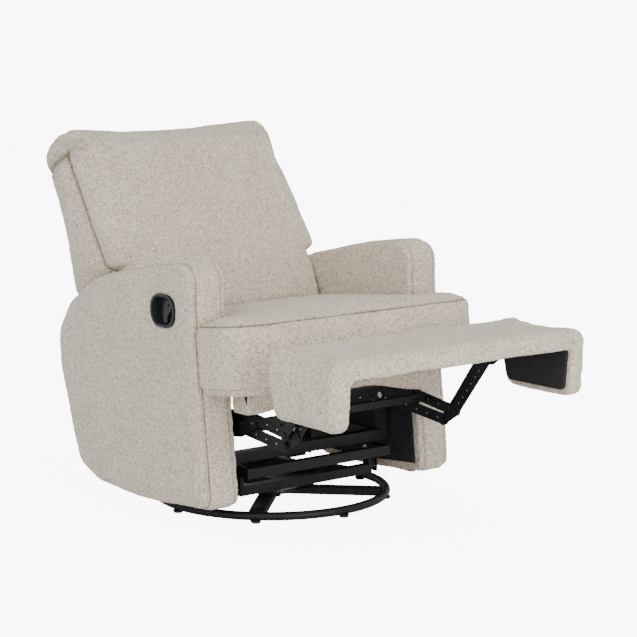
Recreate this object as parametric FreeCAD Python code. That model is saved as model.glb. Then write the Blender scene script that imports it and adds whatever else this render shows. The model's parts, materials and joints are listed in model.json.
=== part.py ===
import FreeCAD, Part
import math
import os

# Swivel glider recliner. Millimetres, +Z up, origin on the floor under the swivel.
# The chair faces -Y and the sitter's right is -X. It is drawn with the footrest out.

WIDTH = 790.0                 # over the arms
ARM_THICK = 100.0
ARM_HEIGHT = 668.0            # floor to the front of the arm top
BACK_TOP = 962.0              # floor to the front top edge of the back
BACK_WIDTH = 644.0
SEAT_PITCH = 6.5              # degrees the seat leans back
RING_DIAMETER = 620.0
TUBE_DIAMETER = 22.0
FOOT_HEIGHT = 7.0
FOOTREST_LENGTH = 268.0
CUSHION_HEIGHT = 184.0
FOOTREST_DROP = 157.0         # height of the side wings
SWING_LENGTH = 53.0           # glider swing links, pivot to pivot

PIN_RADIUS = 5.0
RUNNING_FIT = 0.05            # radial clearance of a turning joint
LINK_THICK = 4.0
LINK_HALF_WIDTH = 14.0
FLOATING_FIT = 1.8            # extra clearance in the two floating pivots

ARM_OUTER = WIDTH / 2 - 1.0
ARM_INNER = ARM_OUTER - ARM_THICK
LINER_THICK = 0.8
INNER_WALL = ARM_INNER - LINER_THICK
CUSHION_HALF = WIDTH / 2 - 7.0
SEAT_HALF = ARM_INNER - 6.0

# Footrest linkage pivots in the side plane, as (y, z) with the footrest out.
FRONT_PIVOT = (-259.5, 281.8)
REAR_PIVOT = (-215.4, 249.5)
FRONT_TIP = (-430.1, 260.4)
REAR_TIP = (-386.3, 231.3)
CONTROL_PIVOT = (-404.2, 262.1)
PANEL_PIVOT = (-547.5, 409.6)
CONTROL_TIP = (-518.6, 415.6)
TORQUE_POINT = (-302.0, 276.4)

RECLINE_PIVOT = (250.0, 403.0)

# The linkage is stacked outwards from the middle of the chair, one link per layer.
COUPLER_X = 251.0
LINK_X = 256.5
PLATE_X = 262.0
CONTROL_X = 267.5

SIDES = (("left", 1), ("right", -1))

os.makedirs("parts", exist_ok=True)


def v(x, y, z):
    return FreeCAD.Vector(x, y, z)


def save(name, shape):
    shape.exportStep("parts/" + name + ".step")


def sided(shape, sign):
    """The +X shape, or its mirror image for the -X side."""
    if sign > 0:
        return shape
    return shape.mirror(v(0, 0, 0), v(1, 0, 0))


def both(shape):
    return [shape, sided(shape, -1)]


def block(x0, x1, y0, y1, z0, z1):
    return Part.makeBox(x1 - x0, y1 - y0, z1 - z0, v(x0, y0, z0))


def rod_x(point, x0, x1, radius):
    """A round rod along X through a (y, z) point."""
    return Part.makeCylinder(radius, x1 - x0, v(x0, point[0], point[1]), v(1, 0, 0))


def rod_z(x, y, z0, z1, radius):
    return Part.makeCylinder(radius, z1 - z0, v(x, y, z0))


def rounded_wire(corners, place):
    """A closed wire through (a, b, radius) corners; place turns (a, b) into a vector."""
    ends = []
    count = len(corners)
    for i in range(count):
        a, b, radius = corners[i]
        here = FreeCAD.Vector(a, b, 0)
        before = FreeCAD.Vector(corners[i - 1][0], corners[i - 1][1], 0)
        after = FreeCAD.Vector(corners[(i + 1) % count][0], corners[(i + 1) % count][1], 0)
        to_before = (before - here).normalize()
        to_after = (after - here).normalize()
        if radius == 0:
            ends.append((here, None, here))
            continue
        half = to_before.getAngle(to_after) / 2
        reach = radius / math.tan(half)
        bisector = (to_before + to_after).normalize()
        middle = here + bisector * (radius / math.sin(half) - radius)
        ends.append((here + to_before * reach, middle, here + to_after * reach))
    edges = []
    for i in range(count):
        start, middle, finish = ends[i]
        if middle is not None:
            edges.append(Part.Arc(place(start), place(middle), place(finish)).toShape())
        following = ends[(i + 1) % count][0]
        if (following - finish).Length > 0.001:
            edges.append(Part.makeLine(place(finish), place(following)))
    return Part.Wire(Part.__sortEdges__(edges))


def side_plate(corners, x0, x1):
    """An outline in the side plane (y, z, radius), drawn out along X."""
    wire = rounded_wire(corners, lambda p: v(x0, p.x, p.y))
    return Part.Face(wire).extrude(v(x1 - x0, 0, 0))


def plan_plate(corners, z0, z1):
    """An outline in plan (x, y, radius), drawn out upwards."""
    wire = rounded_wire(corners, lambda p: v(p.x, p.y, z0))
    return Part.Face(wire).extrude(v(0, 0, z1 - z0))


def front_plate(corners, y0, y1):
    """An outline seen from the front (x, z, radius), drawn out along Y."""
    wire = rounded_wire(corners, lambda p: v(p.x, y0, p.y))
    return Part.Face(wire).extrude(v(0, y1 - y0, 0))


def mirrored_corners(corners):
    """Right-hand corners followed by their mirror images, as one closed outline."""
    return corners + [(-a, b, r) for a, b, r in reversed(corners)]


def link(points, x0, holes):
    """A flat link through (y, z) points, with one hole radius for each point."""
    body = None
    for point in points:
        disc = rod_x(point, x0, x0 + LINK_THICK, LINK_HALF_WIDTH)
        body = disc if body is None else body.fuse(disc)
    for a, b in zip(points[:-1], points[1:]):
        length = math.hypot(b[0] - a[0], b[1] - a[1])
        ny = -(b[1] - a[1]) / length * LINK_HALF_WIDTH
        nz = (b[0] - a[0]) / length * LINK_HALF_WIDTH
        strip = [(a[0] + ny, a[1] + nz, 0), (b[0] + ny, b[1] + nz, 0),
                 (b[0] - ny, b[1] - nz, 0), (a[0] - ny, a[1] - nz, 0)]
        body = body.fuse(side_plate(strip, x0, x0 + LINK_THICK))
    for point, radius in zip(points, holes):
        body = body.cut(rod_x(point, x0 - 1, x0 + LINK_THICK + 1, radius))
    return body.removeSplitter()


def rivet(point, shank, heads, radius=PIN_RADIUS):
    """A pin along X with any number of (x0, x1, radius) heads and collars."""
    body = rod_x(point, shank[0], shank[1], radius)
    for x0, x1, head_radius in heads:
        body = body.fuse(rod_x(point, x0, x1, head_radius))
    return body.removeSplitter()


def sweep_wire(path, start, direction, radius):
    circle = Part.Wire(Part.makeCircle(radius, start, direction))
    return path.makePipeShell([circle], True, False)


def sweep(points, radius):
    """A round bar or cord along a smooth curve through the points."""
    curve = Part.BSplineCurve()
    curve.interpolate(points)
    direction = curve.tangent(curve.FirstParameter)[0]
    return sweep_wire(Part.Wire(curve.toShape()), points[0], direction, radius)


def pitched(shape):
    """Lean a seat piece back about the top of the front rail."""
    leaned = shape.copy()
    leaned.rotate(v(0, SEAT_AXIS_Y, SEAT_AXIS_Z), v(1, 0, 0), -SEAT_PITCH)
    return leaned


SEAT_AXIS_Y = -273.0
SEAT_AXIS_Z = 350.5


# Base: a round tube ring on small glides, crossed by two flat bars that carry the hub.

RING_RADIUS = (RING_DIAMETER - TUBE_DIAMETER) / 2
RING_Z = FOOT_HEIGHT - 0.5 + TUBE_DIAMETER / 2
BAR_BOTTOM = 10.0
BAR_TOP = 28.0
CENTRE_PAD_RADIUS = 24.0
HUB_TOP = BAR_TOP + 6.0
BEARING_TOP = HUB_TOP + 16.0
SWIVEL_BOTTOM = BEARING_TOP + 0.3
SWIVEL_TOP = 56.0
KING_BOLT_RADIUS = 8.0
FOOT_COUNT = 8


def make_base():
    ring = Part.makeTorus(RING_RADIUS, TUBE_DIAMETER / 2, v(0, 0, RING_Z))
    save("base_ring", ring)
    reach = RING_RADIUS - TUBE_DIAMETER / 2 - 0.8
    bars = block(-reach, reach, -20, 20, BAR_BOTTOM, BAR_TOP)
    bars = bars.fuse(block(-20, 20, -reach, reach, BAR_BOTTOM, BAR_TOP))
    bars = bars.removeSplitter()
    bars = bars.cut(rod_z(0, 0, 0, BAR_TOP + 1, 19))
    bars.rotate(v(0, 0, 0), v(0, 0, 1), 45)
    save("base_cross_bars", bars)
    hub = rod_z(0, 0, BAR_TOP, HUB_TOP, 110)
    save("base_hub", hub.cut(rod_z(0, 0, 0, 100, KING_BOLT_RADIUS + RUNNING_FIT)))
    bearing = rod_z(0, 0, HUB_TOP, BEARING_TOP, 85).cut(rod_z(0, 0, 0, 100, 58))
    save("swivel_bearing", bearing)
    feet = []
    for i in range(FOOT_COUNT):
        angle = 2 * math.pi * i / FOOT_COUNT
        x = RING_RADIUS * math.cos(angle)
        y = RING_RADIUS * math.sin(angle)
        feet.append(Part.makeCone(11, 14, RING_Z - TUBE_DIAMETER / 2, v(x, y, 0)))
    feet.append(rod_z(0, 0, 0, BAR_BOTTOM, CENTRE_PAD_RADIUS))
    save("glide_feet", Part.makeCompound(feet))


# Swivel frame: turns on the hub and carries four posts for the swing links.

LINK_UPPER_Z = 125.0
LINK_LOWER_Z = LINK_UPPER_Z - SWING_LENGTH
LINK_Y = 140.0
RAIL_TOP = 80.0
POST_INNER = 203.0
POST_OUTER = 214.0
SWING_X = 219.0
SWING_THICK = 4.0
HANGER_X = 227.0


def make_swivel_frame():
    plate = rod_z(0, 0, SWIVEL_BOTTOM, SWIVEL_TOP, 100)
    save("swivel_plate", plate.cut(rod_z(0, 0, 0, 100, KING_BOLT_RADIUS)))
    bolt = rod_z(0, 0, 13, SWIVEL_TOP + 8, KING_BOLT_RADIUS)
    bolt = bolt.fuse(rod_z(0, 0, SWIVEL_TOP, SWIVEL_TOP + 8, 14))
    bolt = bolt.fuse(rod_z(0, 0, BAR_TOP - 10.3, BAR_TOP - 0.3, 15))
    save("swivel_bolt", bolt.removeSplitter())
    frame = None
    for sign in (1, -1):
        beam = block(70, 95, -LINK_Y - 12, LINK_Y + 12, SWIVEL_TOP, RAIL_TOP)
        beam = sided(beam, sign)
        frame = beam if frame is None else frame.fuse(beam)
        y0 = sign * LINK_Y - 12
        frame = frame.fuse(block(-POST_OUTER, POST_OUTER, y0, y0 + 24, SWIVEL_TOP, RAIL_TOP))
        for side in (1, -1):
            post = block(POST_INNER, POST_OUTER, y0, y0 + 24, RAIL_TOP, LINK_UPPER_Z + 11)
            post = post.cut(rod_x((sign * LINK_Y, LINK_UPPER_Z), 190, 230, PIN_RADIUS))
            frame = frame.fuse(sided(post, side))
    save("swivel_frame", frame.removeSplitter())
    pins = []
    for y in (-LINK_Y, LINK_Y):
        pin = rivet((y, LINK_UPPER_Z), (POST_INNER - 3, 225.2),
                    [(POST_INNER - 3, POST_INNER, 8), (POST_OUTER, SWING_X - 0.3, 8),
                     (SWING_X + SWING_THICK + 0.3, 225.2, 8)])
        pins += both(pin)
    save("swing_upper_pins", Part.makeCompound(pins))


# Swing links: four short bars that let the whole chair glide to and fro.

def make_swing_links():
    for end, y in (("front", -LINK_Y), ("rear", LINK_Y)):
        extra = 0.5 if end == "rear" else RUNNING_FIT
        bar = side_plate([(y - 10, LINK_LOWER_Z - 10, 9.9), (y + 10, LINK_LOWER_Z - 10, 9.9),
                          (y + 10, LINK_UPPER_Z + 10, 9.9), (y - 10, LINK_UPPER_Z + 10, 9.9)],
                         SWING_X, SWING_X + SWING_THICK)
        bar = bar.cut(rod_x((y, LINK_UPPER_Z), 210, 230, PIN_RADIUS + RUNNING_FIT))
        bar = bar.cut(rod_x((y, LINK_LOWER_Z), 210, 230, PIN_RADIUS + extra))
        for side, sign in SIDES:
            save("swing_link_" + end + "_" + side, sided(bar, sign))


# Glider frame: hangs on the swing links and carries the two mechanism plates.

GLIDER_RAIL_BOTTOM = 142.0
GLIDER_RAIL_TOP = 170.0
GLIDER_HALF = PLATE_X
STOP_RAIL_Y = -205.0


def make_glider_frame():
    frame = None
    for y in (-LINK_Y, LINK_Y):
        rail = block(-GLIDER_HALF, GLIDER_HALF, y - 15, y + 15, GLIDER_RAIL_BOTTOM, GLIDER_RAIL_TOP)
        frame = rail if frame is None else frame.fuse(rail)
    for sign in (1, -1):
        beam = block(HANGER_X, HANGER_X + 13, -LINK_Y, LINK_Y, GLIDER_RAIL_BOTTOM, GLIDER_RAIL_TOP)
        frame = frame.fuse(sided(beam, sign))
        for y in (-LINK_Y, LINK_Y):
            hanger = block(HANGER_X, HANGER_X + 4, y - 14, y + 14, LINK_LOWER_Z - 12,
                           GLIDER_RAIL_BOTTOM)
            hanger = hanger.cut(rod_x((y, LINK_LOWER_Z), 220, 240, PIN_RADIUS))
            riser = block(GLIDER_HALF - 22, GLIDER_HALF, y - 12, y + 12, GLIDER_RAIL_TOP, 240)
            frame = frame.fuse(sided(hanger, sign)).fuse(sided(riser, sign))
        arm = block(HANGER_X, HANGER_X + 4, STOP_RAIL_Y, -LINK_Y, 112, 137)
        frame = frame.fuse(sided(arm, sign))
    stop = block(-HANGER_X - 4, HANGER_X + 4, STOP_RAIL_Y, STOP_RAIL_Y + 22, 112, 137)
    save("glider_frame", frame.fuse(stop).removeSplitter())
    pins = []
    for y in (-LINK_Y, LINK_Y):
        pin = rivet((y, LINK_LOWER_Z), (SWING_X - 2.5, HANGER_X + 6),
                    [(SWING_X - 2.5, SWING_X - 0.3, 8),
                     (SWING_X + SWING_THICK + 0.3, HANGER_X, 8),
                     (HANGER_X + 4, HANGER_X + 6, 8)])
        pins += both(pin)
    save("swing_lower_pins", Part.makeCompound(pins))


# Mechanism: one plate each side, bolted through spacers to the arm boards.

BOLT_POINTS = [(-130.0, 256.0), (20.0, 242.0), (194.0, 236.0)]
BOLT_RADIUS = 4.0
BRACKET_X = PLATE_X + LINK_THICK
PLATE_OUTLINE = [(-284, 302, 14), (-284, 258, 16), (-226, 228, 18), (-150, 218, 30),
                 (212, 212, 12), (212, 258, 12), (-150, 288, 60)]
RECLINE_OUTLINE = [(176, 262, 4), (176, 214, 6), (212, 214, 6), (267, 360, 20), (267, 418, 16),
                   (233, 418, 16), (233, 390, 16)]


def bolt_holes(x0, x1):
    holes = [rod_x(p, x0, x1, BOLT_RADIUS) for p in BOLT_POINTS]
    return Part.makeCompound(holes)


def make_mechanism_plates():
    plate = side_plate(PLATE_OUTLINE, PLATE_X, BRACKET_X)
    plate = plate.cut(bolt_holes(PLATE_X - 1, BRACKET_X + 1))
    for point in (FRONT_PIVOT, REAR_PIVOT):
        plate = plate.cut(rod_x(point, PLATE_X - 1, BRACKET_X + 1, PIN_RADIUS))
    bracket = side_plate(RECLINE_OUTLINE, BRACKET_X, BRACKET_X + LINK_THICK)
    bracket = bracket.cut(bolt_holes(BRACKET_X - 1, BRACKET_X + 5))
    bracket = bracket.cut(rod_x(RECLINE_PIVOT, BRACKET_X - 1, BRACKET_X + 5, 6))
    spacers = []
    bolts = []
    pins = []
    for point in BOLT_POINTS:
        start = BRACKET_X + LINK_THICK if point[0] > 176 else BRACKET_X
        spacer = rod_x(point, start, INNER_WALL, 9).cut(rod_x(point, start, INNER_WALL, BOLT_RADIUS))
        spacers += both(spacer)
        bolt = rivet(point, (PLATE_X - 4, ARM_INNER + 36), [(PLATE_X - 4, PLATE_X, 8)], BOLT_RADIUS)
        bolts += both(bolt)
    for point in (FRONT_PIVOT, REAR_PIVOT):
        pin = rivet(point, (LINK_X - 3, BRACKET_X + 2),
                    [(LINK_X - 3, LINK_X - 0.3, 8), (BRACKET_X, BRACKET_X + 2, 8)])
        pins += both(pin)
    pins += both(rivet(RECLINE_PIVOT, (254, BRACKET_X + LINK_THICK + 2),
                        [(254, 257.7, 10), (262.3, BRACKET_X, 10),
                         (BRACKET_X + LINK_THICK, BRACKET_X + LINK_THICK + 2, 10)], 6))
    for side, sign in SIDES:
        save("mechanism_plate_" + side, sided(plate, sign))
        save("recline_bracket_" + side, sided(bracket, sign))
    save("mechanism_spacers", Part.makeCompound(spacers))
    save("frame_bolts", Part.makeCompound(bolts))
    save("mechanism_pins", Part.makeCompound(pins))


# Footrest linkage: two parallel links swing a coupler, and a control link turns the panel.

def make_linkage():
    fixed = PIN_RADIUS
    turning = PIN_RADIUS + RUNNING_FIT
    floating = PIN_RADIUS + FLOATING_FIT
    front = link([FRONT_PIVOT, CONTROL_PIVOT, FRONT_TIP], LINK_X, [turning, fixed, fixed])
    rear = link([REAR_PIVOT, REAR_TIP], LINK_X, [turning, floating])
    coupler = link([REAR_TIP, FRONT_TIP, PANEL_PIVOT], COUPLER_X, [fixed, turning, fixed])
    control = link([CONTROL_PIVOT, CONTROL_TIP], CONTROL_X, [turning, floating])
    for side, sign in SIDES:
        save("front_link_" + side, sided(front, sign))
        save("rear_link_" + side, sided(rear, sign))
        save("coupler_link_" + side, sided(coupler, sign))
        save("control_link_" + side, sided(control, sign))
    tip_pin = rivet(FRONT_TIP, (COUPLER_X - 2.5, PLATE_X),
                    [(COUPLER_X - 2.5, COUPLER_X - 0.3, 8), (COUPLER_X + 4.3, LINK_X, 8),
                     (LINK_X + 4, PLATE_X, 8)])
    control_pin = rivet(CONTROL_PIVOT, (LINK_X, CONTROL_X + 6.5),
                        [(LINK_X + 4, CONTROL_X - 0.3, 8), (CONTROL_X + 4.3, CONTROL_X + 6.5, 8)])
    save("front_link_rivets", Part.makeCompound(both(tip_pin) + both(control_pin)))
    heads = [(COUPLER_X - 2.5, COUPLER_X, 8), (COUPLER_X + 4, LINK_X - 0.3, 8),
             (LINK_X + 4.3, LINK_X + 6.5, 9)]
    rear_pin = rivet(REAR_TIP, (COUPLER_X - 2.5, LINK_X + 6.5), heads)
    panel_pin = rivet(PANEL_PIVOT, (COUPLER_X - 2.5, LINK_X + 6.5), heads)
    save("coupler_rivets", Part.makeCompound(both(rear_pin) + both(panel_pin)))
    tube = block(-LINK_X, LINK_X, TORQUE_POINT[0] - 9, TORQUE_POINT[0] + 9,
                 TORQUE_POINT[1] - 9, TORQUE_POINT[1] + 9)
    bore = block(-LINK_X, LINK_X, TORQUE_POINT[0] - 7, TORQUE_POINT[0] + 7,
                 TORQUE_POINT[1] - 7, TORQUE_POINT[1] + 7)
    save("torque_tube", tube.cut(bore))


# Footrest: a padded cap with side wings, screwed to a board on two steel brackets.

FOOTREST_REAR = -488.0
FOOTREST_FRONT = FOOTREST_REAR - FOOTREST_LENGTH
FOOTREST_TOP = 492.0
PANEL_THICK = 29.0
BOARD_THICK = 12.0
WING_INNER = CUSHION_HALF - 42.0
WING_BOARD = 8.0
BOARD_INSET = 16.0
PANEL_BOTTOM = FOOTREST_TOP - PANEL_THICK
BOARD_BOTTOM = PANEL_BOTTOM - BOARD_THICK


def make_footrest():
    wing_bottom = FOOTREST_TOP - FOOTREST_DROP
    wing = [(FOOTREST_REAR, FOOTREST_TOP, 14), (FOOTREST_FRONT, FOOTREST_TOP, 22),
            (FOOTREST_FRONT + 12, wing_bottom, 24), (FOOTREST_REAR - 30, wing_bottom, 28),
            (FOOTREST_REAR - 5, wing_bottom + 0.7 * FOOTREST_DROP, 30)]
    panel = [(FOOTREST_REAR - 0.5, FOOTREST_TOP - 0.5, 13), (FOOTREST_FRONT + 0.5, FOOTREST_TOP - 0.5, 21),
             (FOOTREST_FRONT + 3, BOARD_BOTTOM, 5), (FOOTREST_REAR - 3, BOARD_BOTTOM, 6)]
    inner = WING_INNER - WING_BOARD
    pad = side_plate(panel, -WING_INNER, WING_INNER)
    for sign in (1, -1):
        pad = pad.fuse(sided(side_plate(wing, WING_INNER, CUSHION_HALF), sign))
    pad = pad.cut(block(-WING_INNER, WING_INNER, FOOTREST_FRONT + BOARD_INSET,
                        FOOTREST_REAR - BOARD_INSET, BOARD_BOTTOM - 1, PANEL_BOTTOM))
    save("footrest_pad", pad.removeSplitter())
    board = block(-inner, inner, FOOTREST_FRONT + BOARD_INSET, FOOTREST_REAR - BOARD_INSET,
                  BOARD_BOTTOM, PANEL_BOTTOM)
    save("footrest_board", board)
    wing_board = [(FOOTREST_REAR - BOARD_INSET, PANEL_BOTTOM, 0),
                  (FOOTREST_FRONT + BOARD_INSET, PANEL_BOTTOM, 0),
                  (FOOTREST_FRONT + 26, wing_bottom + 14, 16),
                  (FOOTREST_REAR - 44, wing_bottom + 14, 20), (FOOTREST_REAR - 22, PANEL_BOTTOM - 23, 20)]
    bracket = [(-562, 396, 10), (-507, 401, 10), (-506, 436, 10), (-530, 451, 4), (-700, 451, 0),
               (-700, 438, 6), (-610, 430, 30)]
    arm = side_plate(bracket, LINK_X, LINK_X + LINK_THICK)
    flange = block(LINK_X - 22, LINK_X + LINK_THICK, -700, -540, BOARD_BOTTOM - 3, BOARD_BOTTOM)
    arm = arm.fuse(flange).removeSplitter()
    arm = arm.cut(rod_x(PANEL_PIVOT, LINK_X - 1, LINK_X + 5, PIN_RADIUS + RUNNING_FIT))
    arm = arm.cut(rod_x(CONTROL_TIP, LINK_X - 1, LINK_X + 5, PIN_RADIUS))
    tip_pin = rivet(CONTROL_TIP, (LINK_X, CONTROL_X + 6.5),
                    [(LINK_X + 4, CONTROL_X - 0.3, 9), (CONTROL_X + 4.3, CONTROL_X + 6.5, 9)])
    for side, sign in SIDES:
        save("footrest_bracket_" + side, sided(arm, sign))
    save("footrest_wing_boards", Part.makeCompound(both(side_plate(wing_board, inner, WING_INNER))))
    save("footrest_rivets", Part.makeCompound(both(tip_pin)))


# Arms: a board on the inside of a padded, covered body, closed with a black lining.

ARM_OUTLINE = [(-204, ARM_HEIGHT, 52), (-200, 562, 300), (-248, 170, 300), (-258, 66, 24),
               (-54, 48, 300), (74, 44, 300), (222, 52, 60), (312, 88, 60), (340, 160, 120),
               (400, 325, 200), (408, 432, 90), (352, 512, 90), (240, 584, 200),
               (-20, 644, 500)]
HANDLE_Y = -78.0
HANDLE_Z = 536.0
HANDLE_HALF_LONG = 50.0
HANDLE_HALF_HIGH = 41.0
HANDLE_DEPTH = 28.0
CABLE_RADIUS = 2.5
CABLE_ROUTE = [v(22 - ARM_OUTER, -84, 498.5), v(26 - ARM_OUTER, -86, 450),
               v(49 - ARM_OUTER, -92, 390), v(-18 - ARM_INNER, -104, 335),
               v(10 - ARM_INNER, -118, 300), v(-PLATE_X - 6.3, -128, 278)]


def inset_outline(distance, x0, x1):
    face = Part.Face(rounded_wire(ARM_OUTLINE, lambda p: v(x0, p.x, p.y)))
    return face.makeOffset2D(-distance).extrude(v(x1 - x0, 0, 0))


def oval(x0, x1, half_long, half_high):
    """A rounded oval about the handle, along X, on the sitter's right."""
    corners = [(HANDLE_Y - half_long, HANDLE_Z - half_high, half_high * 0.9),
               (HANDLE_Y + half_long, HANDLE_Z - half_high, half_high * 0.9),
               (HANDLE_Y + half_long, HANDLE_Z + half_high, half_high * 0.9),
               (HANDLE_Y - half_long, HANDLE_Z + half_high, half_high * 0.9)]
    return side_plate(corners, x0, x1)


def make_arms():
    board_inner = ARM_INNER + 20.0
    board_outer = board_inner + 18.0
    body = side_plate(ARM_OUTLINE, ARM_INNER, ARM_OUTER)
    rim = [edge for edge in body.Edges
           if all(abs(vertex.X - ARM_OUTER) < 0.01 for vertex in edge.Vertexes)]
    body = body.makeFillet(16, rim)
    board = inset_outline(34, board_inner, board_outer)
    pad = body.cut(board).cut(block(board_inner, board_outer, -190, 190, 30, 110))
    pad = pad.cut(bolt_holes(ARM_INNER - 1, board_inner + 1))
    board = board.cut(bolt_holes(board_inner - 1, board_outer + 1))
    below_seat = pitched(block(-500, 500, -400, 500, 0, SEAT_AXIS_Z - 14))
    liner = inset_outline(22, INNER_WALL, ARM_INNER).common(below_seat)
    liner = liner.cut(bolt_holes(INNER_WALL - 1, ARM_INNER + 1))
    cup = oval(-ARM_OUTER - 1, -ARM_OUTER + HANDLE_DEPTH, HANDLE_HALF_LONG - 4, HANDLE_HALF_HIGH - 4)
    channel = sweep(CABLE_ROUTE, CABLE_RADIUS + 2)
    for side, sign in SIDES:
        pieces = {"arm_pad_": sided(pad, sign), "arm_board_": sided(board, sign),
                  "arm_liner_": sided(liner, sign)}
        for name, piece in pieces.items():
            if side == "right":
                piece = piece.cut(channel).cut(cup)
            save(name + side, piece)


# Release handle: an oval cup in the sitter's right arm with a sprung paddle and its cable.

PADDLE_PIVOT = (-100.0, 552.0)


def make_handle():
    wall = 2.5
    floor = -ARM_OUTER + HANDLE_DEPTH
    flange = oval(-ARM_OUTER - 2.5, -ARM_OUTER, HANDLE_HALF_LONG, HANDLE_HALF_HIGH)
    shell = oval(-ARM_OUTER, floor, HANDLE_HALF_LONG - 4, HANDLE_HALF_HIGH - 4)
    hollow = oval(-ARM_OUTER - 3, floor - wall, HANDLE_HALF_LONG - 4 - wall,
                  HANDLE_HALF_HIGH - 4 - wall)
    housing = flange.fuse(shell).cut(hollow)
    pin = Part.makeCylinder(4, 20, v(floor - wall - 20, *PADDLE_PIVOT), v(1, 0, 0))
    save("handle_housing", housing.fuse(pin).removeSplitter())
    blade = [(-111, 562, 9), (-111, 542, 8), (-94, 524, 6), (-94, 508, 5), (-78, 508, 5),
             (-78, 545, 12), (-88, 562, 9)]
    paddle = side_plate(blade, -ARM_OUTER + 3, floor - wall - 1)
    paddle = paddle.cut(rod_x(PADDLE_PIVOT, -ARM_OUTER, floor, 4 + RUNNING_FIT))
    save("release_paddle", paddle)
    save("release_cable", sweep(CABLE_ROUTE, CABLE_RADIUS))


# Seat: two wooden rails, sinuous springs, a cloth deck, a front apron and the T cushion.

RAIL_HEIGHT = 26.0
SPRING_COUNT = 5
SPRING_RADIUS = 1.9
DECK_THICK = 2.6


def sinuous(start, along, across, bends, swing, radius):
    """One spring wire of straight legs across, joined by half-round bends along a vector."""
    step = along * (1.0 / bends)
    bend_radius = step.Length / 2
    heading = along.normalize()
    edges = []
    here = start
    for i in range(bends):
        sign = 1 if i % 2 == 0 else -1
        turn = here + across * (sign * (swing - bend_radius))
        if i > 0:
            turn = here + across * (sign * 2 * (swing - bend_radius))
        peak = turn + across * (sign * bend_radius) + heading * bend_radius
        after = turn + step
        edges.append(Part.makeLine(here, turn))
        edges.append(Part.Arc(turn, peak, after).toShape())
        here = after
    direction = across
    return sweep_wire(Part.Wire(edges), start, direction, radius)


def make_seat():
    front_top = SEAT_AXIS_Z - DECK_THICK - 2 * SPRING_RADIUS
    save("seat_rail_front", block(-INNER_WALL, INNER_WALL, -285, -262, front_top - RAIL_HEIGHT,
                                  front_top + 1.2).cut(pitched(
                                      block(-400, 400, -300, -240, front_top, front_top + 30))))
    rear_rail = block(-INNER_WALL, INNER_WALL, 125, 149, 266, 330)
    rear_rail = rear_rail.cut(pitched(block(-400, 400, 50, 300, front_top, front_top + 90)))
    save("seat_rail_rear", rear_rail)
    springs = []
    for i in range(SPRING_COUNT):
        x = (i - (SPRING_COUNT - 1) / 2) * 2 * SEAT_HALF / SPRING_COUNT
        start = v(x, -280, front_top + SPRING_RADIUS)
        springs.append(pitched(sinuous(start, v(0, 424, 0), v(1, 0, 0), 17, 22, SPRING_RADIUS)))
    save("seat_springs", Part.makeCompound(springs))
    deck = block(-SEAT_HALF, SEAT_HALF, -288, 140, SEAT_AXIS_Z - DECK_THICK, SEAT_AXIS_Z)
    save("seat_deck", pitched(deck))
    apron_top = 347.0
    apron = [(INNER_WALL, apron_top, 0), (-INNER_WALL, apron_top, 0), (-INNER_WALL, 294, 0),
             (-200, 301, 200), (-90, 321, 200), (90, 321, 200), (200, 301, 200),
             (INNER_WALL, 294, 0)]
    save("seat_apron", front_plate(apron, -290, -285))
    plan = mirrored_corners([(SEAT_HALF, 96, 40), (SEAT_HALF, -230, 8), (CUSHION_HALF, -230, 10),
                             (CUSHION_HALF, -400, 100)])
    cushion = plan_plate(plan, SEAT_AXIS_Z, SEAT_AXIS_Z + CUSHION_HEIGHT)
    top = [edge for edge in cushion.Edges
           if all(abs(vertex.Z - SEAT_AXIS_Z - CUSHION_HEIGHT) < 0.01 for vertex in edge.Vertexes)]
    cushion = cushion.makeFillet(7.5, top)
    save("seat_cushion", pitched(cushion))


# Back: a wooden frame with springs in the hollow of the padded back, and a rear cover.

BACK_PAD_OUTLINE = [(137, 468, 26), (452, BACK_TOP, 50), (580, BACK_TOP - 90, 46), (402, 430, 30)]
FRAME_FRONT = [(354, 440), (521, 850)]
FRAME_DEPTH = 45.0
STILE_OUTER = 258.0
STILE_THICK = 22.0
POCKET_HALF = 262.5


def frame_point(height, depth):
    """A side-plane point on the back frame at a height, a depth behind its front face."""
    (y0, z0), (y1, z1) = FRAME_FRONT
    return (y0 + (y1 - y0) * (height - z0) / (z1 - z0) + depth, height)


def frame_bar(z0, z1, depth):
    low = frame_point(z0, 0)
    high = frame_point(z1, 0)
    return [(low[0], z0, 0), (low[0] + depth, z0, 0), (high[0] + depth, z1, 0), (high[0], z1, 0)]


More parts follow.
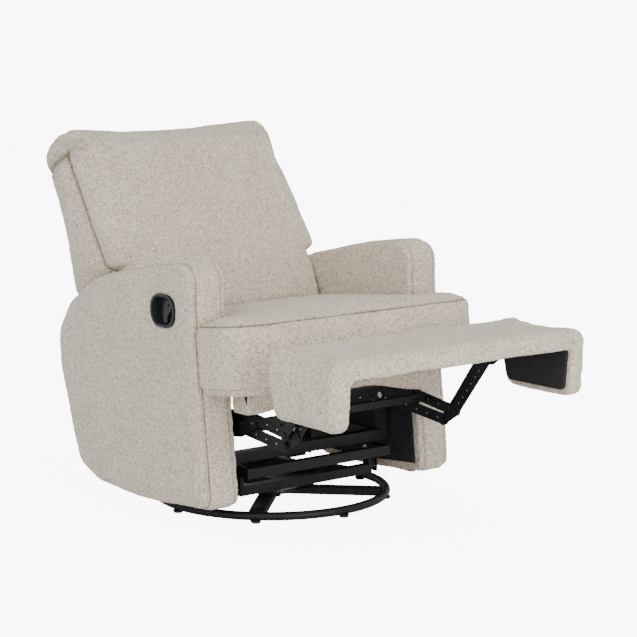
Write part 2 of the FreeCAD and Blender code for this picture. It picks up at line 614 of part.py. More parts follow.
def make_back():
    low_half = SEAT_HALF - 1
    full = side_plate(BACK_PAD_OUTLINE, -low_half, low_half)
    ears = side_plate(BACK_PAD_OUTLINE, -BACK_WIDTH / 2, BACK_WIDTH / 2)
    ear_zone = [(0, 640, 0), (235, 614, 0), (300, 582, 0), (400, 524, 0), (470, 480, 0),
                (700, 480, 0), (700, 1100, 0), (0, 1100, 0)]
    ears = ears.common(side_plate(ear_zone, -500, 500))
    front_view = mirrored_corners([(BACK_WIDTH / 2, 400, 20), (BACK_WIDTH / 2, BACK_TOP, 74)])
    ears = ears.common(front_plate(front_view, -100, 700))
    full = full.common(front_plate(front_view, -100, 700))
    pocket = side_plate([frame_point(400, 0) + (0,), frame_point(851, 0) + (0,), (700, 851, 0),
                         (700, 400, 0)], -POCKET_HALF, POCKET_HALF)
    save("back_cushion", full.fuse(ears).cut(pocket).removeSplitter())
    frame = None
    for sign in (1, -1):
        stile = side_plate(frame_bar(440, 850, FRAME_DEPTH), STILE_OUTER - STILE_THICK, STILE_OUTER)
        stile = sided(stile, sign)
        frame = stile if frame is None else frame.fuse(stile)
    for z0, z1 in ((440, 492), (796, 850)):
        frame = frame.fuse(side_plate(frame_bar(z0, z1, FRAME_DEPTH), -STILE_OUTER, STILE_OUTER))
    save("back_frame", frame.removeSplitter())
    springs = []
    inner = STILE_OUTER - STILE_THICK
    for height in (542, 607, 672, 737):
        y, z = frame_point(height, FRAME_DEPTH / 2)
        start = v(-inner + SPRING_RADIUS, y, z)
        lean = v(0, 0.377, 0.926)
        springs.append(sinuous(start, v(2 * (inner - SPRING_RADIUS), 0, 0), lean, 17, 22, SPRING_RADIUS))
    save("back_springs", Part.makeCompound(springs))
    cover = side_plate(frame_bar(437, 849, 2.5), -POCKET_HALF + 0.5, POCKET_HALF - 0.5)
    cover.translate(v(0, FRAME_DEPTH, 0))
    save("back_rear_cover", cover)
    bracket = side_plate([(235, 388, 14), (262, 386, 14), (386, 412, 20), (440, 560, 6),
                          (409, 562, 6), (372, 436, 12), (235, 418, 14)], STILE_OUTER,
                         STILE_OUTER + LINK_THICK)
    bracket = bracket.cut(rod_x(RECLINE_PIVOT, 250, 265, 6 + RUNNING_FIT))
    for side, sign in SIDES:
        save("back_bracket_" + side, sided(bracket, sign))


make_base()
make_swivel_frame()
make_swing_links()
make_glider_frame()
make_mechanism_plates()
make_linkage()
make_footrest()
make_arms()
make_handle()
make_seat()
make_back()
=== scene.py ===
import json
import math

import bmesh
import bpy
import numpy as np
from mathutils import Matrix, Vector, noise
from mathutils.kdtree import KDTree


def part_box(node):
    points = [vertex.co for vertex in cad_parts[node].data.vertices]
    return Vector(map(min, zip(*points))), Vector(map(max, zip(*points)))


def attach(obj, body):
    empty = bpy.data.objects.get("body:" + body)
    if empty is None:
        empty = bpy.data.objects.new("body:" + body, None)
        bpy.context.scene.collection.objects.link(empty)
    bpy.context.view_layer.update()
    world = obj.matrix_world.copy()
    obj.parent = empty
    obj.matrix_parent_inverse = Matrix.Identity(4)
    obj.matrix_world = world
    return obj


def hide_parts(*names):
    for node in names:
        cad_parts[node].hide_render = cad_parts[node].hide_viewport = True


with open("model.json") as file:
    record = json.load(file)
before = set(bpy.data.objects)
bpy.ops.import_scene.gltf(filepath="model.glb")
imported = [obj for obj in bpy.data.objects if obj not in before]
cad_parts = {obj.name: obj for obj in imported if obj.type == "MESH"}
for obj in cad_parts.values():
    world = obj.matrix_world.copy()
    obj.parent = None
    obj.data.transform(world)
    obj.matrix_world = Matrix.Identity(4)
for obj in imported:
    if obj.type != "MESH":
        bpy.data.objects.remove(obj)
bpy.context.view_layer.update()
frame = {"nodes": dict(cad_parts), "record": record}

nodes = frame["nodes"]
scene = bpy.context.scene

# Back: a plump pillow of foam in a boucle cover, with a boxing strip round its edge. The cover
# is sewn with a soft welt, pulled over the wooden frame from below and closed by a rear panel.


def joined_copy(name, sources):
    """A new object from merged copies of CAD nodes."""
    bm = bmesh.new()
    for source in sources:
        bm.from_mesh(nodes[source].data)
    bmesh.ops.remove_doubles(bm, verts=bm.verts, dist=0.00002)
    mesh = bpy.data.meshes.new(name)
    bm.to_mesh(mesh)
    bm.free()
    piece = bpy.data.objects.new(name, mesh)
    scene.collection.objects.link(piece)
    return piece


def made_plain(piece):
    """Turn a piece's modifiers into its own mesh."""
    graph = bpy.context.evaluated_depsgraph_get()
    plain = bpy.data.meshes.new_from_object(piece.evaluated_get(graph))
    piece.modifiers.clear()
    old = piece.data
    piece.data = plain
    bpy.data.meshes.remove(old)
    plain.name = piece.name


def remeshed(piece, voxel, smoothing):
    """An even skin of small quads over a solid, with its corners eased."""
    remesh = piece.modifiers.new("skin", "REMESH")
    remesh.mode = "VOXEL"
    remesh.voxel_size = voxel
    ease = piece.modifiers.new("ease", "SMOOTH")
    ease.factor = 0.5
    ease.iterations = smoothing
    made_plain(piece)
    keep_outer_skin(piece)


def keep_outer_skin(piece):
    """Drop the small closed pockets that a remesh can leave inside a solid."""
    bm = bmesh.new()
    bm.from_mesh(piece.data)
    unseen = set(bm.verts)
    islands = []
    while unseen:
        island = {unseen.pop()}
        edge_of_island = list(island)
        while edge_of_island:
            vertex = edge_of_island.pop()
            for edge in vertex.link_edges:
                other = edge.other_vert(vertex)
                if other in unseen:
                    unseen.remove(other)
                    island.add(other)
                    edge_of_island.append(other)
        islands.append(island)
    islands.sort(key=len)
    for island in islands[:-1]:
        bmesh.ops.delete(bm, geom=list(island), context="VERTS")
    bm.to_mesh(piece.data)
    bm.free()


def coordinates(piece):
    points = np.empty(len(piece.data.vertices) * 3)
    piece.data.vertices.foreach_get("co", points)
    return points.reshape(-1, 3)


def set_coordinates(piece, points):
    piece.data.vertices.foreach_set("co", points.ravel())
    piece.data.update()


def normals(piece):
    directions = np.empty(len(piece.data.vertices) * 3)
    piece.data.vertex_normals.foreach_get("vector", directions)
    return directions.reshape(-1, 3)


def swell(piece, pressure, most, held):
    """Blow the cover up like stuffed cloth; held is an array of 0..1 pin weights in tenths."""
    before = coordinates(piece)
    first_push = 0.45 * most
    set_coordinates(piece, before + normals(piece) * (first_push * (1 - held))[:, None])
    group = piece.vertex_groups.new(name="held")
    for tenths in range(1, 11):
        weight = tenths / 10
        chosen = np.nonzero(np.abs(held - weight) < 0.05)[0].tolist()
        if chosen:
            group.add(chosen, weight, "REPLACE")
    cloth = piece.modifiers.new("stuffing", "CLOTH")
    settings = cloth.settings
    settings.quality = 4
    settings.mass = 0.3
    settings.tension_stiffness = 12
    settings.compression_stiffness = 12
    settings.bending_stiffness = 0.5
    settings.use_pressure = True
    settings.uniform_pressure_force = pressure
    settings.effector_weights.gravity = 0
    settings.vertex_group_mass = "held"
    last_frame = 20
    cloth.point_cache.frame_start = 1
    cloth.point_cache.frame_end = last_frame
    for number in range(1, last_frame + 1):
        scene.frame_set(number)
    made_plain(piece)
    piece.vertex_groups.clear()
    moved = coordinates(piece) - before
    length = np.linalg.norm(moved, axis=1)
    scale = np.where(length > most, most / np.maximum(length, 1e-9), 1.0)
    set_coordinates(piece, before + moved * scale[:, None])


def refined(piece):
    """One level of subdivision, so that seams and nubs have points to move."""
    finer = piece.modifiers.new("finer", "SUBSURF")
    finer.levels = 1
    finer.render_levels = 1
    made_plain(piece)


def seam_groove(piece, point, direction, depth, width):
    """Pull the cover in along the line where a plane cuts it, and mark painted shade along that
    groove.
    """
    points = coordinates(piece)
    direction = np.array(direction) / np.linalg.norm(direction)
    distance = (points - np.array(point)) @ direction
    near = np.exp(-(distance / width) ** 2)
    set_coordinates(piece, points - normals(piece) * (depth * near)[:, None])
    # Painted shade: the groove is marked so that the cover's colour is darkened along it.
    paint_seam_shade(piece, np.exp(-(distance / (0.7 * width)) ** 2))


def paint_seam_shade(piece, strength):
    """Remember how near each point is to a sewn line; the cover gets painted shade in its seams.
    """
    shade = piece.data.attributes.get("seam")
    if shade is None:
        shade = piece.data.attributes.new("seam", "FLOAT", "POINT")
    before = np.empty(len(piece.data.vertices))
    shade.data.foreach_get("value", before)
    shade.data.foreach_set("value", np.maximum(before, np.clip(strength, 0, 1)))


def nubby(piece, height=0.0012, waves=0.0020):
    """Small loops and slow unevenness of a boucle cover over soft foam."""
    points = coordinates(piece)
    loops_per_metre = 150
    waves_per_metre = 9
    lift = np.array([height * noise.noise(Vector(p) * loops_per_metre)
                     + waves * noise.noise(Vector(p) * waves_per_metre) for p in points])
    set_coordinates(piece, points + normals(piece) * lift[:, None])
    for face in piece.data.polygons:
        face.use_smooth = True


def seam_line(piece, point, direction, keep=None):
    """The edges where a plane cuts a piece, as a mesh of lines."""
    bm = bmesh.new()
    bm.from_mesh(piece.data)
    cut = bmesh.ops.bisect_plane(bm, geom=bm.verts[:] + bm.edges[:] + bm.faces[:],
                                 plane_co=point, plane_no=direction)
    edges = [item for item in cut["geom_cut"] if isinstance(item, bmesh.types.BMEdge)]
    if keep is not None:
        edges = [edge for edge in edges if all(keep(vertex.co) for vertex in edge.verts)]
    numbers = {}
    points = []
    lines = []
    for edge in edges:
        line = []
        for vertex in edge.verts:
            if vertex not in numbers:
                numbers[vertex] = len(points)
                points.append(vertex.co.copy())
            line.append(numbers[vertex])
        lines.append(line)
    mesh = bpy.data.meshes.new("seam_line")
    mesh.from_pydata(points, lines, [])
    bm.free()
    return mesh


def cord_tree():
    """Geometry nodes that run a round cord along lines of mesh edges."""
    tree = bpy.data.node_groups.new("sewn_cord", "GeometryNodeTree")
    tree.interface.new_socket("Lines", in_out="INPUT", socket_type="NodeSocketGeometry")
    thick = tree.interface.new_socket("Radius", in_out="INPUT", socket_type="NodeSocketFloat")
    thick.default_value = 0.003
    cover = tree.interface.new_socket("Cover", in_out="INPUT", socket_type="NodeSocketMaterial")
    tree.interface.new_socket("Cord", in_out="OUTPUT", socket_type="NodeSocketGeometry")
    new = tree.nodes.new
    start = new("NodeGroupInput")
    end = new("NodeGroupOutput")
    curve = new("GeometryNodeMeshToCurve")
    even = new("GeometryNodeResampleCurve")
    even.mode = "LENGTH"
    even.inputs["Length"].default_value = 0.009
    smooth = new("GeometryNodeCurveSplineType")
    smooth.spline_type = "CATMULL_ROM"
    round_profile = new("GeometryNodeCurvePrimitiveCircle")
    round_profile.inputs["Resolution"].default_value = 8
    solid = new("GeometryNodeCurveToMesh")
    solid.inputs["Fill Caps"].default_value = True
    real = new("GeometryNodeRealizeInstances")
    painted = new("GeometryNodeSetMaterial")
    shade = new("GeometryNodeSetShadeSmooth")
    join = tree.links.new
    join(start.outputs["Lines"], curve.inputs["Mesh"])
    join(curve.outputs["Curve"], even.inputs["Curve"])
    join(even.outputs["Curve"], smooth.inputs["Curve"])
    join(smooth.outputs["Curve"], solid.inputs["Curve"])
    join(start.outputs["Radius"], round_profile.inputs["Radius"])
    join(round_profile.outputs["Curve"], solid.inputs["Profile Curve"])
    join(solid.outputs["Mesh"], shade.inputs["Geometry"])
    join(shade.outputs["Geometry"], real.inputs["Geometry"])
    join(real.outputs["Geometry"], painted.inputs["Geometry"])
    join(start.outputs["Cover"], painted.inputs["Material"])
    join(painted.outputs["Geometry"], end.inputs["Cord"])
    return tree, thick.identifier, cover.identifier


sewn_cord, cord_radius, cord_cover = cord_tree()


def welt(name, lines, radius, material):
    """A covered cord sewn along a seam, as a plain mesh."""
    piece = bpy.data.objects.new(name, lines)
    scene.collection.objects.link(piece)
    cord = piece.modifiers.new("cord", "NODES")
    cord.node_group = sewn_cord
    cord[cord_radius] = radius
    cord[cord_cover] = material
    made_plain(piece)
    points = coordinates(piece)
    lift = np.array([0.0005 * noise.noise(Vector(p) * 190) for p in points])
    set_coordinates(piece, points + normals(piece) * lift[:, None])
    return piece


def node_material(name):
    material = bpy.data.materials.new(name)
    material.use_nodes = True
    tree = material.node_tree
    shader = tree.nodes["Principled BSDF"]
    place = tree.nodes.new("ShaderNodeTexCoord")
    return material, tree, shader, place.outputs["Object"]


def texture(tree, place, kind, scale, **settings):
    node = tree.nodes.new(kind)
    node.inputs["Scale"].default_value = scale
    tree.links.new(place, node.inputs["Vector"])
    for key, value in settings.items():
        node.inputs[key].default_value = value
    return node


def ramp(tree, value, stops):
    node = tree.nodes.new("ShaderNodeValToRGB")
    tree.links.new(value, node.inputs["Fac"])
    elements = node.color_ramp.elements
    elements[0].position, elements[0].color = stops[0][0], (*stops[0][1], 1)
    elements[1].position, elements[1].color = stops[-1][0], (*stops[-1][1], 1)
    for position, color in stops[1:-1]:
        element = elements.new(position)
        element.color = (*color, 1)
    return node.outputs["Color"]


def mixed(tree, fac, first, second, blend="MIX"):
    node = tree.nodes.new("ShaderNodeMix")
    node.data_type = "RGBA"
    node.blend_type = blend
    if isinstance(fac, float):
        node.inputs["Factor"].default_value = fac
    else:
        tree.links.new(fac, node.inputs["Factor"])
    tree.links.new(first, node.inputs["A"])
    tree.links.new(second, node.inputs["B"])
    return node.outputs["Result"]


def bumped(tree, shader, heights):
    """Chain bumps of (height output, strength, distance) into the shader."""
    previous = None
    for height, strength, distance in heights:
        bump = tree.nodes.new("ShaderNodeBump")
        bump.inputs["Strength"].default_value = strength
        bump.inputs["Distance"].default_value = distance
        tree.links.new(height, bump.inputs["Height"])
        if previous is not None:
            tree.links.new(previous, bump.inputs["Normal"])
        previous = bump.outputs["Normal"]
    tree.links.new(previous, shader.inputs["Normal"])


def boucle_material():
    """Cream looped boucle: round nubs with painted shade in the gaps between them, stray lighter
    loops, and painted shade along the seams.
    """
    material, tree, shader, place = node_material("boucle")
    nubs = texture(tree, place, "ShaderNodeTexVoronoi", 210, Randomness=1.0)
    nubs.feature = "SMOOTH_F1"
    nubs.inputs["Smoothness"].default_value = 0.3
    fibres = texture(tree, place, "ShaderNodeTexNoise", 800, Detail=3.0, Roughness=0.65)
    loops = texture(tree, place, "ShaderNodeTexNoise", 130, Detail=3.0, Roughness=0.7,
                    Distortion=1.0)
    patches = texture(tree, place, "ShaderNodeTexNoise", 12, Detail=2.0)
    # The ramp darkens the edges of the nub cells: painted shade in the gaps between the loops.
    nubs_with_gap_shade = ramp(tree, nubs.outputs["Distance"], [(0.05, (0.88, 0.785, 0.645)),
                                                 (0.45, (0.68, 0.595, 0.475)),
                                                 (0.80, (0.28, 0.24, 0.185))])
    stray = ramp(tree, loops.outputs["Fac"], [(0.38, (0.38, 0.33, 0.26)),
                                              (0.52, (0.66, 0.58, 0.465)),
                                              (0.66, (0.93, 0.85, 0.73))])
    blend = mixed(tree, 0.55, nubs_with_gap_shade, stray)
    shade = ramp(tree, patches.outputs["Fac"], [(0.3, (0.93, 0.92, 0.91)), (0.7, (1, 1, 1))])
    cover = mixed(tree, 0.8, blend, shade, "MULTIPLY")
    # Painted shade: the cover is darkened along its seams and the back's tuck, where the grooves
    # are.
    sewn = tree.nodes.new("ShaderNodeAttribute")
    sewn.attribute_name = "seam"
    painted_seam_shade = ramp(tree, sewn.outputs["Fac"], [(0.1, (1, 1, 1)), (0.8, (0.36, 0.32, 0.28))])
    tree.links.new(mixed(tree, 1.0, cover, painted_seam_shade, "MULTIPLY"), shader.inputs["Base Color"])
    shader.inputs["Roughness"].default_value = 0.95
    shader.inputs["Specular IOR Level"].default_value = 0.12
    shader.inputs["Sheen Weight"].default_value = 0.25
    shader.inputs["Sheen Roughness"].default_value = 0.6
    bumped(tree, shader, [(nubs.outputs["Distance"], -0.7, 0.0035),
                          (loops.outputs["Fac"], 0.7, 0.0040),
                          (fibres.outputs["Fac"], 0.25, 0.0006)])
    return material


boucle = boucle_material()


def dressed(piece, material):
    piece.data.materials.clear()
    piece.data.materials.append(material)
    return piece


def smoothstep(value, low, high):
    t = np.clip((value - low) / (high - low), 0, 1)
    return t * t * (3 - 2 * t)


back_half_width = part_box("back_cushion")[1][0]
back_lean = (0.0, 0.843, -0.538)
back_rise = (0.0, 0.538, 0.843)
back_front_point = np.array([0.0, 0.137, 0.468])
back_seam_depth = 0.048
back_groove = 0.0045
back_tuck_rise = 0.520
back_welt_start = 0.185


def infill(piece, low, high, shear_y):
    """Add a leaning block inside a hollow cushion, so that it remeshes as one solid."""
    bm = bmesh.new()
    bm.from_mesh(piece.data)
    made = bmesh.ops.create_cube(bm, size=1)["verts"]
    for vertex in made:
        position = [low[i] + (vertex.co[i] + 0.5) * (high[i] - low[i]) for i in range(3)]
        position[1] += (position[2] - low[2]) * shear_y
        vertex.co = position
    bm.to_mesh(piece.data)
    bm.free()


def make_back():
    piece = joined_copy("back_pillow", ["back_cushion"])
    cover_low, cover_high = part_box("back_rear_cover")
    lean = (cover_high[1] - cover_low[1] - 0.0025) / (cover_high[2] - cover_low[2])
    infill(piece, (cover_low[0] - 0.002, cover_low[1] - 0.046, cover_low[2] - 0.002),
           (cover_high[0] + 0.002, cover_low[1] + 0.006, cover_high[2] + 0.003), lean)
    remeshed(piece, 0.0062, 14)
    points = coordinates(piece)
    depth = (points - back_front_point) @ np.array(back_lean)
    rise = (points - back_front_point) @ np.array(back_rise)
    seam = np.exp(-((depth - back_seam_depth) / 0.012) ** 2)
    side = smoothstep(np.abs(points[:, 0]), back_half_width - 0.05, back_half_width - 0.01)
    low_part = 1 - smoothstep(rise, 0.03, 0.14)
    held = np.round(np.clip(np.maximum(seam * side, low_part), 0, 1), 1)
    swell(piece, 3.2, 0.020, held)
    refined(piece)
    seam_point = back_front_point + np.array(back_lean) * back_seam_depth
    points = coordinates(piece)
    depth = (points - back_front_point) @ np.array(back_lean)
    rise = (points - back_front_point) @ np.array(back_rise)
    outward = np.abs(points[:, 0]) / back_half_width
    top_dip = 0.007
    points[:, 2] -= top_dip * smoothstep(rise, 0.45, 0.56) * (1 - smoothstep(outward, 0.2, 0.85))
    at_side = smoothstep(np.abs(points[:, 0]), back_half_width - 0.060, back_half_width - 0.015)
    behind_seam = smoothstep(depth, back_seam_depth - 0.030, back_seam_depth)
    sharp_tuck, soft_tuck = 0.004, 0.003
    tuck = sharp_tuck * np.exp(-((rise - back_tuck_rise) / 0.006) ** 2) * behind_seam
    tuck += soft_tuck * np.exp(-((rise - back_tuck_rise) / 0.030) ** 2)
    below_tuck = 1 - smoothstep(rise, back_tuck_rise - 0.004, back_tuck_rise + 0.006)
    seam = back_groove * np.exp(-((depth - back_seam_depth) / 0.005) ** 2) * below_tuck
    set_coordinates(piece, points - normals(piece) * ((tuck + seam) * at_side)[:, None])
    # Painted shade in the side seam groove and in the tuck, stored for the cover's colour.
    paint_seam_shade(piece, at_side * (seam / back_groove + 0.8 * tuck / (sharp_tuck + soft_tuck)))
    nubby(piece)
    dressed(piece, boucle)
    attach(piece, "back")
    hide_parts("back_cushion", "back_rear_cover")
    line = seam_line(piece, Vector(seam_point), Vector(back_lean),
                     lambda co: abs(co.x) > back_half_width - 0.05
                     and back_welt_start < (co - Vector(back_front_point)).dot(Vector(back_rise))
                     < back_tuck_rise)
    cord = welt("back_welt", line, 0.0022, boucle)
    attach(cord, "back")


make_back()

# Arms: a plywood side padded with foam and covered in three panels. The outer and inner panels
# meet the narrow band round the edge in two soft welts, and the inside is closed with lining.


arm_seam_inset = 0.012
seam_depth = 0.0045
seam_width = 0.005


def clear_cup(piece, middle, cup_high):
    """Press the foam in behind the release handle's oval cup, so that none of it shows there."""
    points = coordinates(piece)
    rim = 0.003
    roundness = 2.6
    along = np.abs((points[:, 1] - middle[1]) / (cup_high[1] - middle[1] - rim)) ** roundness
    up = np.abs((points[:, 2] - middle[2]) / (cup_high[2] - middle[2] - rim)) ** roundness
    in_cup = along + up < 1
    points[in_cup, 0] = np.maximum(points[in_cup, 0], cup_high[0] + 0.006)
    set_coordinates(piece, points)


def make_arm(side, sign):
    piece = joined_copy("arm_" + side, ["arm_pad_" + side, "arm_board_" + side])
    low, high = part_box("arm_pad_" + side)
    board_low, board_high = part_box("arm_board_" + side)
    infill(piece, (board_low[0] - 0.003, -0.195, 0.054), (board_high[0] + 0.003, 0.195, 0.13), 0)
    outer = high[0] if sign > 0 else -low[0]
    inner = low[0] if sign > 0 else -high[0]
    remeshed(piece, 0.006, 9)
    points = coordinates(piece)
    across = points[:, 0] * sign
    edge_outer = outer - arm_seam_inset
    edge_inner = inner + arm_seam_inset
    held = np.exp(-((across - edge_outer) / 0.008) ** 2)
    held = np.maximum(held, 1 - smoothstep(across, inner + 0.002, inner + 0.02))
    if side == "right":
        cup_low, cup_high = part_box("handle_housing")
        middle = [(a + b) / 2 for a, b in zip(cup_low, cup_high)]
        away = np.hypot(points[:, 1] - middle[1], points[:, 2] - middle[2])
        held = np.maximum(held, 1 - smoothstep(away, 0.055, 0.085))
    swell(piece, 3.0, 0.007, np.round(np.clip(held, 0, 1), 1))
    refined(piece)
    if side == "right":
        clear_cup(piece, middle, cup_high)
    for across_seam in (edge_outer, edge_inner):
        seam_groove(piece, (across_seam * sign, 0, 0), (1, 0, 0), seam_depth, seam_width)
    nubby(piece)
    dressed(piece, boucle)
    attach(piece, "chair")
    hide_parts("arm_pad_" + side)
    for label, across_seam in (("outer", edge_outer), ("inner", edge_inner)):
        line = seam_line(piece, Vector((across_seam * sign, 0, 0)), Vector((1, 0, 0)))
        cord = welt("arm_welt_" + label + "_" + side, line, 0.0024, boucle)
        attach(cord, "chair")


make_arm("left", 1)
make_arm("right", -1)

# Seat cushion: a T-shaped block of foam in a boxed boucle cover. A covered welt runs round the
# top and the bottom edge, and the top panel is crowned by the stuffing.

seat_tilt = math.radians(6.5)
seat_hinge = np.array([0.0, -0.273, 0.3505])


def level(points):
    """Points of the leaning seat, turned level about its front rail."""
    moved = points - seat_hinge
    y = moved[:, 1] * math.cos(seat_tilt) - moved[:, 2] * math.sin(seat_tilt)
    z = moved[:, 1] * math.sin(seat_tilt) + moved[:, 2] * math.cos(seat_tilt)
    return np.column_stack([moved[:, 0], y, z])


def leaning(points):
    y = points[:, 1] * math.cos(seat_tilt) + points[:, 2] * math.sin(seat_tilt)
    z = -points[:, 1] * math.sin(seat_tilt) + points[:, 2] * math.cos(seat_tilt)
    return np.column_stack([points[:, 0], y, z]) + seat_hinge


def make_seat_cushion():
    piece = joined_copy("seat_pillow", ["seat_cushion"])
    remeshed(piece, 0.006, 6)
    points = level(coordinates(piece))
    upright = level(coordinates(piece) + normals(piece))[:, 2] - points[:, 2]
    welt_top = 0.170
    welt_bottom = 0.012
    half_height = 0.09
    border = points[(np.abs(upright) < 0.3) & (np.abs(points[:, 2] - half_height) < 0.02)]
    tree = KDTree(len(border))
    for number, (x, y, z) in enumerate(border):
        tree.insert((x, y, 0), number)
    tree.balance()
    inward = np.array([tree.find((x, y, 0))[2] for x, y, z in points])
    rise = points[:, 2] - welt_top
    crown_radius = 0.040
    crown = 1 - np.exp(-inward / crown_radius)
    points[:, 2] = np.where(rise > 0, welt_top + rise * crown, points[:, 2])
    set_coordinates(piece, leaning(points))
    held = np.exp(-((points[:, 2] - welt_top) / 0.008) ** 2) * (inward < 0.03)
    held = np.maximum(held, np.exp(-((points[:, 2] - welt_bottom) / 0.008) ** 2))
    held = np.maximum(held, (points[:, 2] < 0.004) * 1.0)
    arm_front = -0.230
    behind_arms = (points[:, 1] > arm_front - seat_hinge[1]) & (inward < 0.02)
    held = np.maximum(held, behind_arms * 0.8)
    swell(piece, 3.4, 0.012, np.round(np.clip(held, 0, 1), 1))
    refined(piece)
    tilt_normal = (0.0, math.sin(seat_tilt), math.cos(seat_tilt))
    seams = []
    for height in (welt_top, welt_bottom):
        point = leaning(np.array([[0.0, 0.0, height]]))[0]
        seam_groove(piece, point, tilt_normal, seam_depth, seam_width)
        seams.append(point)
    nubby(piece)
    dressed(piece, boucle)
    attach(piece, "chair")
    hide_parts("seat_cushion")
    for label, point, radius in zip(("top", "bottom"), seams, (0.0034, 0.0048)):
        line = seam_line(piece, Vector(point), Vector(tilt_normal))
        cord = welt("seat_welt_" + label, line, radius, boucle)
        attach(cord, "chair")


make_seat_cushion()

# Footrest: a foam-wrapped cap with a wing down each end, covered in one piece of boucle that is
# pulled round the edges and stapled inside.


def make_footrest():
    piece = joined_copy("footrest_cap", ["footrest_pad"])
    remeshed(piece, 0.0055, 8)
    points = coordinates(piece)
    low, high = (np.array(corner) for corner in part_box("footrest_pad"))
    wing_inside = (np.abs(points[:, 0]) < high[0] - 0.036) & (points[:, 2] < high[2] - 0.044)
    underside = (points[:, 2] < high[2] - 0.032) & (np.abs(points[:, 0]) < high[0] - 0.045)
    held = np.where(wing_inside | underside, 1.0, 0.0)
    swell(piece, 3.0, 0.007, held)
    refined(piece)
    nubby(piece, waves=0.0026)
    dressed(piece, boucle)
    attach(piece, "footrest")
    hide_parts("footrest_pad")


make_footrest()

# Front apron: a band of the same boucle, pulled over the front rail under the cushion, with its
# lower edge scooped up in the middle.


def make_apron():
    low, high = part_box("seat_apron")
    columns = 150
    rows = 14
    corner = 0.012
    back_edge = -0.232
    front = low[1] + 0.002
    half = high[0] - 0.002
    path = [(-half, back_edge), (-half, front + corner)]
    for step in range(1, 6):
        angle = math.pi * (1 + step / 12)
        path.append((-half + corner + corner * math.cos(angle),
                     front + corner + corner * math.sin(angle)))
    path.append((-half + corner, front))
    path += [(-x, y) for x, y in reversed(path)]
    lengths = [0.0]
    for start, end in zip(path, path[1:]):
        lengths.append(lengths[-1] + math.dist(start, end))
    total = lengths[-1]
    bm = bmesh.new()
    grid = []
    for i in range(columns + 1):
        along = total * i / columns
        x = float(np.interp(along, lengths, [p[0] for p in path]))
        y = float(np.interp(along, lengths, [p[1] for p in path]))
        ahead = min(along + 0.002, total)
        behind = max(along - 0.002, 0)
        turn = Vector((float(np.interp(ahead, lengths, [p[1] for p in path]))
                       - float(np.interp(behind, lengths, [p[1] for p in path])),
                       float(np.interp(behind, lengths, [p[0] for p in path]))
                       - float(np.interp(ahead, lengths, [p[0] for p in path])))).normalized()
        centre = 1 - smoothstep(abs(x), 0.07, 0.28)
        bottom = low[2] + 0.030 * float(centre)
        line = []
        for j in range(rows + 1):
            t = j / rows
            z = bottom + (high[2] - bottom) * t
            puff = 0.004 * math.sin(math.pi * t)
            puff += 0.002 * noise.noise(Vector((x * 14, y * 14, z * 9)))
            line.append(bm.verts.new((x + turn.x * puff, y + turn.y * puff, z)))
        grid.append(line)
    for i in range(columns):
        for j in range(rows):
            bm.faces.new((grid[i][j], grid[i + 1][j], grid[i + 1][j + 1], grid[i][j + 1]))
    bmesh.ops.recalc_face_normals(bm, faces=bm.faces)
    area = sum(face.calc_area() for face in bm.faces)
    mesh = bpy.data.meshes.new("front_apron")
    bm.to_mesh(mesh)
    bm.free()
    piece = bpy.data.objects.new("front_apron", mesh)
    scene.collection.objects.link(piece)
    wall = piece.modifiers.new("wall", "SOLIDIFY")
    wall.thickness = 0.0035
    wall.offset = 0
    made_plain(piece)
    refined(piece)
    nubby(piece, height=0.0005)
    dressed(piece, boucle)
    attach(piece, "chair")
    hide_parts("seat_apron")


make_apron()

# Black lining: thin non-woven dust cloth stapled over the inside of the arms, the underside of
# the footrest and the front rail. It is slightly slack between its staples.


def lining_material():
    material, tree, shader, place = node_material("dust_lining")
    fibres = texture(tree, place, "ShaderNodeTexNoise", 420, Detail=4.0, Roughness=0.7)
    dents = texture(tree, place, "ShaderNodeTexVoronoi", 600)
    tree.links.new(ramp(tree, fibres.outputs["Fac"], [(0.3, (0.006, 0.006, 0.007)),
                                                      (0.7, (0.022, 0.022, 0.024))]),
                   shader.inputs["Base Color"])
    shader.inputs["Roughness"].default_value = 0.85
    bumped(tree, shader, [(dents.outputs["Distance"], 0.2, 0.0006),
                          (fibres.outputs["Fac"], 0.3, 0.0008)])
    return material


lining = lining_material()


def faces_of(source, wanted):
    """The faces of a CAD node that a sheet lies on, as an open mesh, and their area."""
    bm = bmesh.new()
    bm.from_mesh(nodes[source].data)
    bmesh.ops.remove_doubles(bm, verts=bm.verts, dist=0.00002)
    bm.normal_update()
    spare = [face for face in bm.faces if not wanted(face)]
    bmesh.ops.delete(bm, geom=spare, context="FACES")
    return bm, sum(face.calc_area() for face in bm.faces)


def sliced(bm, axes, spacing):
    """Cut an open mesh in even strips across the given axes, so that it can wave."""
    for index in axes:
        values = [vertex.co[index] for vertex in bm.verts]
        place = min(values) + spacing
        normal = Vector((0, 0, 0))
        normal[index] = 1
        while place < max(values) - spacing * 0.4:
            bmesh.ops.bisect_plane(bm, geom=bm.verts[:] + bm.edges[:] + bm.faces[:],
                                   plane_co=normal * place, plane_no=normal)
            place += spacing


def lining_piece(name, bm, body):
    """Give an open mesh the thickness and the finish of the dust lining."""
    mesh = bpy.data.meshes.new(name)
    bm.to_mesh(mesh)
    bm.free()
    piece = bpy.data.objects.new(name, mesh)
    scene.collection.objects.link(piece)
    wall = piece.modifiers.new("wall", "SOLIDIFY")
    wall.thickness = 0.0006
    wall.offset = 0
    made_plain(piece)
    dressed(piece, lining)
    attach(piece, body)
    return piece


